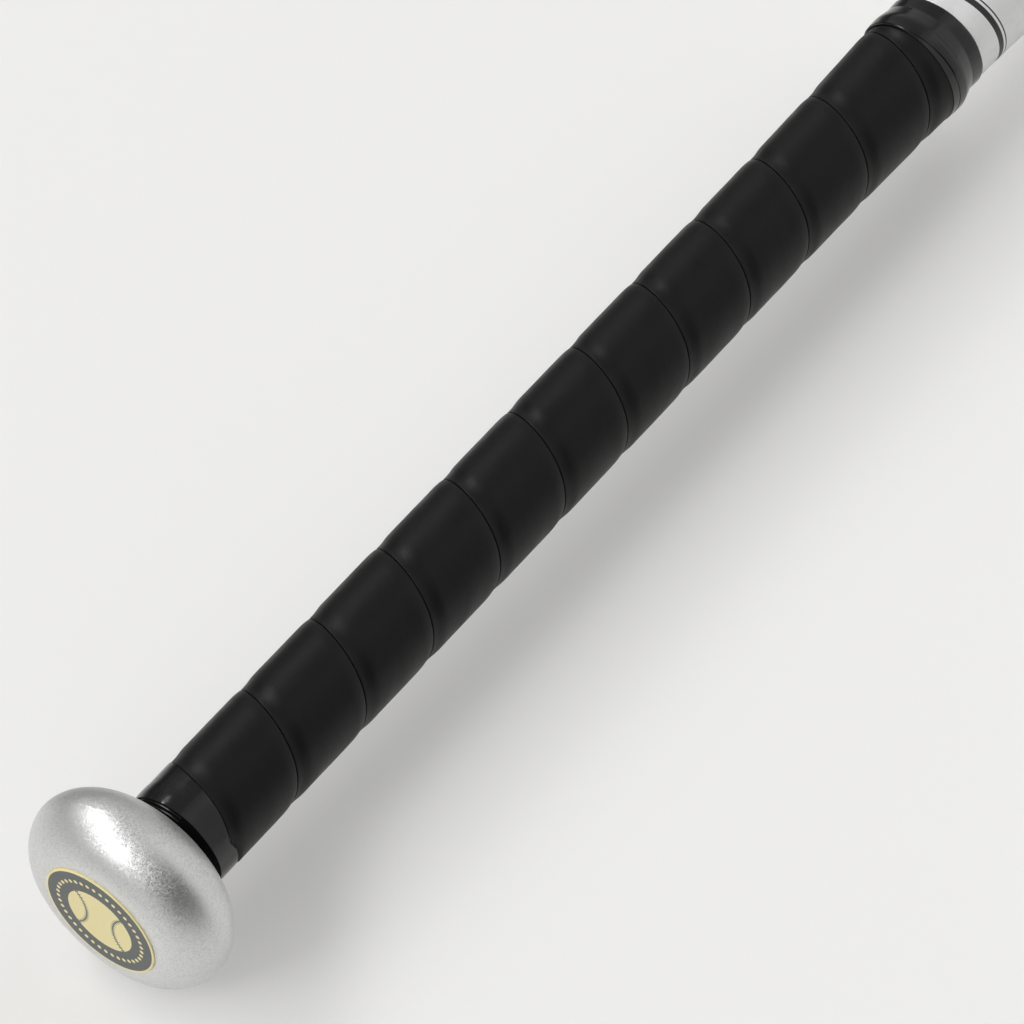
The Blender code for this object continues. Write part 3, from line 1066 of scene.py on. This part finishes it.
def makeBeadTree(sizes):
    tree, wire = startTree("weldRipple", sizes)
    sheet, ring, spot = startGrid(tree, wire["Steps around"] + 1.0, wire["Steps across"] + 1.0)
    around = ring / wire["Steps around"]
    beat = (around * wire["Ripples"]).fraction()
    crest = (beat * math.pi).sine().power(wire["Ripple fullness"])
    leg = wire["Leg"] + crest * wire["Ripple height"]
    # the section runs over the rounded face, then straight back through the corner
    share = (spot / (wire["Steps across"] - 2.0)).held()
    onFace = spot < wire["Steps across"] - 1.5
    sweep = share * (math.pi / 2)
    closing = spot > wire["Steps across"] - 0.5
    radius = wire["Inner radius"] + leg * sweep.cosine() * onFace + leg * closing
    station = wire["Station"] + leg * sweep.sine() * onFace
    bent = setRound(tree, sheet, station, radius, around * (2 * math.pi))
    return endTree(tree, bent, wire["Metal"])


def makeBead():
    return growPiece("weldBeadRipple", makeBeadTree, {**bead, "Metal": beadMetal}, 40)


cap = {
    "lipInner": 0.0235,
    "proud": 0.0016,
    "faceRadius": 0.0150,
    "rimOverlap": 0.0012,
    "rimEdge": 0.0004,
    "rimRound": 0.0003,
    "clear": 0.0003,
    "snap": 0.0012,
    "snapFrom": 0.0023,
    "snapPeak": 0.0038,
    "snapTo": 0.0062,
    "skirtLength": 0.0140,
    "skirtWall": 0.0022,
    "web": 0.0030,
    "ringRadius": 0.0105,
    "ringDepth": 0.0005,
    "ringWidth": 0.0011,
    "slopeSteps": 14,
    "segments": 192,
}


def makeCap():
    zero, lip = bat["tubeEnd"], cap["lipInner"]
    face, under = zero + cap["proud"], zero + cap["clear"]
    neck, rim = lip - cap["clear"], lip + cap["rimOverlap"]
    inner = neck - cap["skirtWall"]
    ring, depth, width = cap["ringRadius"], cap["ringDepth"], cap["ringWidth"]
    outline = [(0.0, face), (ring - width, face)]
    for turn in range(165, 0, -15):
        swing = math.radians(turn)
        outline.append((ring + width * math.cos(swing), face - depth * math.sin(swing) ** 2))
    outline += [(ring + width, face), (cap["faceRadius"], face)]
    fall = cap["proud"] - cap["clear"] - cap["rimEdge"]
    for step in range(1, cap["slopeSteps"]):
        share = step / cap["slopeSteps"]
        outline.append((blend(cap["faceRadius"], rim, share), face - fall * share ** 2))
    outline += arc((rim - cap["rimRound"], face - fall - 0.00012), cap["rimRound"], 60, -20, 5)
    outline += [(rim - 0.00005, under), (neck, under), (neck, zero - cap["snapFrom"])]
    outline += arc((lip, zero - 0.0050), 0.0027, 92, 64, 4)
    outline += [
        (lip + cap["snap"], zero - cap["snapPeak"]),
        (neck, zero - cap["snapTo"]),
        (neck, zero - cap["skirtLength"]),
        (inner, zero - cap["skirtLength"]),
        (inner, face - cap["web"] * 1.5),
        (inner - cap["web"] / 2, face - cap["web"]),
        (0.0, face - cap["web"]),
    ]
    return lathe("endCapMoulding", outline, cap["segments"], capRubber, 32)


# Grip nubs: a ring of drafted studs on the cap's slope, set by Geometry Nodes
nubs = {
    "Ring radius": 0.0200,
    "Ring station": 0.83725,
    "Count": 36,
    "Length": 0.0034,
    "Width": 0.0011,
    "Height": 0.0007,
    "Crease": 0.55,
}


def makeNubTree(sizes):
    tree, wire = startTree("capNubs", sizes)
    ring = made(tree, "GeometryNodeMeshCircle",
                {"Vertices": wire["Count"], "Radius": wire["Ring radius"]})
    size = vectorOf(tree, wire["Length"], wire["Width"], wire["Height"])
    block = made(tree, "GeometryNodeMeshCube", {"Size": size})
    soft = made(tree, "GeometryNodeSubdivisionSurface",
                {"Mesh": block, "Level": 2, "Edge Crease": wire["Crease"]})
    turn = made(tree, "GeometryNodeInputIndex") / wire["Count"] * (2 * math.pi)
    studs = made(tree, "GeometryNodeInstanceOnPoints",
                 {"Points": ring, "Instance": soft, "Rotation": vectorOf(tree, 0.0, 0.0, turn)})
    middle = vectorOf(tree, wire["Ring station"] + bat["startX"], 0.0, bat["axisZ"])
    raised = made(tree, "GeometryNodeTransform",
                  {"Geometry": studs, "Rotation": (0.0, math.pi / 2, 0.0), "Translation": middle})
    return endTree(tree, raised, wire["Rubber"], sewn=False)


def makeNubs():
    return growPiece("capGripNubs", makeNubTree, {**nubs, "Rubber": capRubber}, 60)


def dress(piece, slot, *nodes):
    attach(piece, "root")
    if nodes:
        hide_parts(*nodes)


dress(makeTube(), "tube", "bat_tube")
dress(makeKnob(), "knob", "knob")
dress(makeBadge(), "badge", "knob_badge")
dress(makeBead(), "weld", "knob_weld")
dress(makeGrip(), "leather", "grip_wrap")
dress(makeKnobTape(), "tape", "finish_tape_knob")
dress(makeTopTape(), "tape", "finish_tape_top")
dress(makeCap(), "cap", "end_cap")
dress(makeNubs(), "cap")
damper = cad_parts["barrel_damper"]
damper.data.materials.clear()
damper.data.materials.append(damperFoam)
print("pieces dressed")

# Stage: a pale table that the bat's knob and barrel both touch, the studio's light and the camera
tableTop = {
    "size": 12.0,
    "gap": 0.00005,
    "colour": (0.95, 0.945, 0.927),
    "roughness": 0.20,
    "mottleScale": 6.0,
    "mottleShade": 0.985,
    "paleColour": (0.96, 0.955, 0.935),
    "paleShare": 0.24,
    "darkBeyond": (0.03, 0.13),
    "darkAlong": (-0.40, -0.34),
    "darkShare": 0.85,
}


def makeTable():
    nearX, nearZ = bat["startX"] + knob["widestStation"], bat["axisZ"] - knob["radius"]
    farX, farZ = bat["startX"] + bat["taperEnd"], bat["axisZ"] - bat["barrelRadius"]
    slope = (farZ - nearZ) / (farX - nearX)
    half = tableTop["size"] / 2
    shell = bmesh.new()
    shell.faces.new([shell.verts.new((x, y, nearZ + (x - nearX) * slope - tableTop["gap"]))
                     for x, y in ((-half, -half), (half, -half), (half, half), (-half, half))])
    mesh = bpy.data.meshes.new("table")
    shell.to_mesh(mesh)
    shell.free()
    material, tree = startFinish("tableTop", tableTop)
    place = objectPlace(tree)
    mottled = noiseOf(place, tableTop["mottleScale"]).remap(0.3, 0.7)
    shade = tuple(level * tableTop["mottleShade"] for level in tableTop["colour"])
    endFinish(material, {"Base Color": mixed(mottled, tableTop["colour"], shade)})
    # the camera and glossy reflections see a paler table, and what it lights stays as it is
    path = addNode(tree, "ShaderNodeLightPath")
    mirrored = Wire(tree, path.outputs["Is Glossy Ray"])
    seen = Wire(tree, path.outputs["Is Camera Ray"]).most(mirrored)
    plain = Wire(tree, tree.nodes["Principled BSDF"].outputs[0])
    pale = made(tree, "ShaderNodeEmission", {"Color": tableTop["paleColour"]})
    both = made(tree, "ShaderNodeMixShader", {0: seen * tableTop["paleShare"], 1: plain, 2: pale})
    # painted shade: glossy reflections see the table's far side darkened towards black by a black
    # emission
    x, y, z = split(place)
    beyond = y.remap(*tableTop["darkBeyond"], 0.0, tableTop["darkShare"], "SMOOTHSTEP")
    beyond = beyond * x.remap(*tableTop["darkAlong"])
    dark = made(tree, "ShaderNodeEmission", {"Color": (0.0, 0.0, 0.0)})
    shaded = made(tree, "ShaderNodeMixShader", {0: mirrored * beyond, 1: both, 2: dark})
    plug(tree, shaded, tree.nodes["Material Output"].inputs["Surface"])
    mesh.materials.append(material)
    show("table", mesh)


# Light by its direction from the bat, as shares of white. Each range goes from nothing to all
# along X or Y, and a third number says how much that is. The room is paler towards both ends and
# darker in front, behind and straight beyond the barrel. A strip softbox hangs overhead, its ends
# given as a share along X and a turn from up towards +Y, and a pale screen stands in front,
# towards the barrel
studio = {
    "room": 0.61,
    "barrelEnd": (0.15, 0.70, 0.42),
    "knobEnd": (-0.6, -0.9, 0.12),
    "darkEnd": (0.68, 0.82, 0.45),
    "darkEndSide": (0.25, 0.0),
    "darkFront": (-0.24, -0.74, 0.98),
    "darkFrontEnds": ((-1.0, -0.80), (0.56, 0.39)),
    "darkBack": (-0.10, 0.02, 0.48),
    "darkHorizon": (0.70, 0.95, 0.75),
    "stripStart": (-0.72, 9.0),
    "stripEnd": (0.215, 51.5),
    "stripHalfWidth": 7.5,
    "stripEdge": (1.6, 0.3),
    "stripFade": 6.0,
    "stripLevels": (9.4, 3.6, 7.4),
    "screen": 0.68,
    "screenTurn": (12, 6),
    "screenFrom": (0.20, 0.36),
    "horizon": (-0.02, 0.0),
    "seenBehind": 0.90,
}


def wayTo(x, turn):
    across, turn = math.sqrt(1 - x * x), math.radians(turn)
    return Vector((x, across * math.sin(turn), across * math.cos(turn)))


def rise(value, low, high, top=1.0):
    return value.remap(low, high, 0.0, top, "SMOOTHSTEP")


def makeStudio():
    world = bpy.data.worlds.new("studio")
    world.use_nodes = True
    tree = world.node_tree
    way = made(tree, "ShaderNodeTexCoord", output="Generated")
    x, y, z = split(way)
    left, right = studio["darkFrontEnds"]
    front = rise(y, *studio["darkFront"]) * rise(x, *left) * rise(x, *right)
    back = rise(y, *studio["darkBack"]).most(rise(y, *studio["darkHorizon"]))
    room = rise(x, *studio["barrelEnd"]) + rise(x, *studio["knobEnd"]) + studio["room"]
    room = room * (1.0 - front) * (1.0 - back)
    room = room * (1.0 - rise(x, *studio["darkEnd"]) * rise(y, *studio["darkEndSide"]))

    def facing(fixed):
        return made(tree, "ShaderNodeVectorMath", {0: way, 1: fixed}, "Value",
                    operation="DOT_PRODUCT")

    start, end = wayTo(*studio["stripStart"]), wayTo(*studio["stripEnd"])
    middle, pole = (start + end).normalized(), start.cross(end).normalized()
    reach, fade = start.angle(end) / 2, math.radians(studio["stripFade"])
    ahead = facing(pole.cross(middle)).turnFrom(facing(middle))
    edge = math.sin(math.radians(studio["stripHalfWidth"]))
    outer, inner = (edge * share for share in studio["stripEdge"])
    inStrip = rise(facing(pole).size(), outer, inner) * rise(ahead.size(), reach + fade, reach)
    first, second, third = studio["stripLevels"]
    strip = rise(ahead, -reach, 0.0, second - first) + rise(ahead, 0.0, reach, third - second)
    strip = (strip + first) * inStrip

    turnRange = [math.radians(turn) for turn in studio["screenTurn"]]
    screen = rise(y.turnFrom(z), *turnRange, studio["screen"]) * rise(x, *studio["screenFrom"])
    level = (room.most(screen) + strip) * rise(z, *studio["horizon"])
    seen = made(tree, "ShaderNodeLightPath", output="Is Camera Ray")
    background = tree.nodes["Background"].inputs
    plug(tree, (1.0, 1.0, 1.0), background["Color"])
    plug(tree, level + (studio["seenBehind"] - level) * seen, background["Strength"])
    bpy.context.scene.world = world


camera = {
    "place": (-0.9078, -0.4916, 1.1774),
    "azimuth": 52.09,
    "elevation": 55.36,
    "roll": 0.13,
    "focalPixels": 6279.0,
    "framePixels": 1024.0,
    "sensor": 36.0,
}


def makeCamera():
    azimuth, elevation, roll = (math.radians(camera[label])
                                for label in ("azimuth", "elevation", "roll"))
    flat = math.cos(elevation)
    forward = Vector((math.sin(azimuth) * flat, math.cos(azimuth) * flat, -math.sin(elevation)))
    right = Vector((math.cos(azimuth), -math.sin(azimuth), 0.0))
    up = right.cross(forward)
    tiltedRight = right * math.cos(roll) + up * math.sin(roll)
    tiltedUp = up * math.cos(roll) - right * math.sin(roll)
    lens = bpy.data.cameras.new("camera")
    lens.sensor_width = camera["sensor"]
    lens.lens = camera["sensor"] * camera["focalPixels"] / camera["framePixels"]
    lens.clip_start, lens.clip_end = 0.05, 50.0
    eye = show("camera", lens)
    eye.matrix_world = Matrix((*zip(tiltedRight, tiltedUp, -forward, camera["place"]),
                               (0.0, 0.0, 0.0, 1.0)))
    bpy.context.scene.camera = eye


makeTable()
makeStudio()
makeCamera()
bpy.context.scene.view_settings.view_transform = "Standard"
print("stage set")
